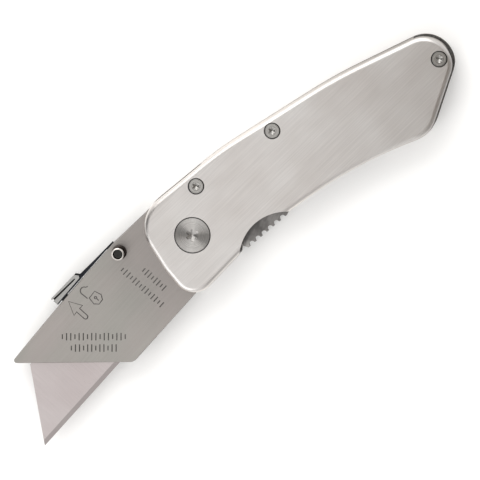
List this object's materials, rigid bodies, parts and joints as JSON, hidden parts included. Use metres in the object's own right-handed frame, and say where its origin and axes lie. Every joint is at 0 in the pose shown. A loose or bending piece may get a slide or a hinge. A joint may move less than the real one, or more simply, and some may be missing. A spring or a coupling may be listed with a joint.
{
  "type": "folding utility knife",
  "caption": "Folding liner-lock utility knife in stainless steel, with a thumb stud and a quick-change carrier for a trapezoid blade.",
  "frame": {"origin": "on the rest face, the outer face of the rear scale, at the middle of the handle", "axes": "+X along the handle from the pivot to the butt, +Y towards the spine of the handle, +Z out of the front scale"},
  "size_m": [0.1605, 0.0515, 0.014],
  "materials": {
    "scale_steel": "satin, brushed across the handle, with brighter rounded edges",
    "liner_steel": "dark satin, stamped",
    "carrier_steel": "fine bead-blasted satin with bright bevels",
    "screw_steel": "turned, with fine circular tool marks",
    "pin_steel": "ground",
    "stud_steel": "turned and dark polished",
    "blade_steel": "fine ground, with a darker ground cutting bevel",
    "spring_steel": "satin spring steel",
    "washer_bronze": "lapped phosphor bronze"
  },
  "bodies": {
    "handle": {"front_scale": "scale_steel", "rear_scale": "scale_steel", "lock_liner": "liner_steel", "back_strip": "scale_steel", "stop_pin": "pin_steel", "centre_pillar": "pin_steel", "butt_pillar": "pin_steel", "front_scale_screws": "screw_steel", "rear_scale_screws": "screw_steel", "pivot_screw": "screw_steel", "pivot_barrel": "screw_steel", "front_pivot_washer": "washer_bronze", "rear_pivot_washer": "washer_bronze"},
    "lock_bar": {"lock_bar": "liner_steel", "detent_ball": "pin_steel"},
    "carrier": {"front_cheek": "carrier_steel", "rear_cheek": "carrier_steel", "carrier_core": "carrier_steel", "nose_spacer": "carrier_steel", "carrier_screws": "screw_steel", "thumb_stud": "stud_steel", "stud_screw": "screw_steel"},
    "blade": {"blade": "blade_steel"},
    "release_lever": {"release_leaf": "spring_steel", "release_tab": "spring_steel", "catch_tooth": "spring_steel"}
  },
  "joints": [
    {"name": "carrier_fold", "type": "hinge", "parent": "handle", "child": "carrier", "pos_m": [-0.039, -0.005, 0.0064], "axis": [0, 0, 1], "range_deg": [0, 159]},
    {"name": "lock_press", "type": "hinge", "parent": "handle", "child": "lock_bar", "pos_m": [0.0186, -0.0083, 0.0031], "axis": [0, -1, 0], "range_deg": [0, 1.1], "stiffness_Nm_per_rad": 12},
    {"name": "lever_lift", "type": "hinge", "parent": "carrier", "child": "release_lever", "pos_m": [-0.06035, 0.00103, 0.0064], "axis": [0, 0, -1], "range_deg": [0, 6], "stiffness_Nm_per_rad": 0.4},
    {"name": "blade_slide", "type": "slide", "parent": "carrier", "child": "blade", "axis": [-0.95, -0.3123, 0], "range_m": [0, 0.05]}
  ]
}
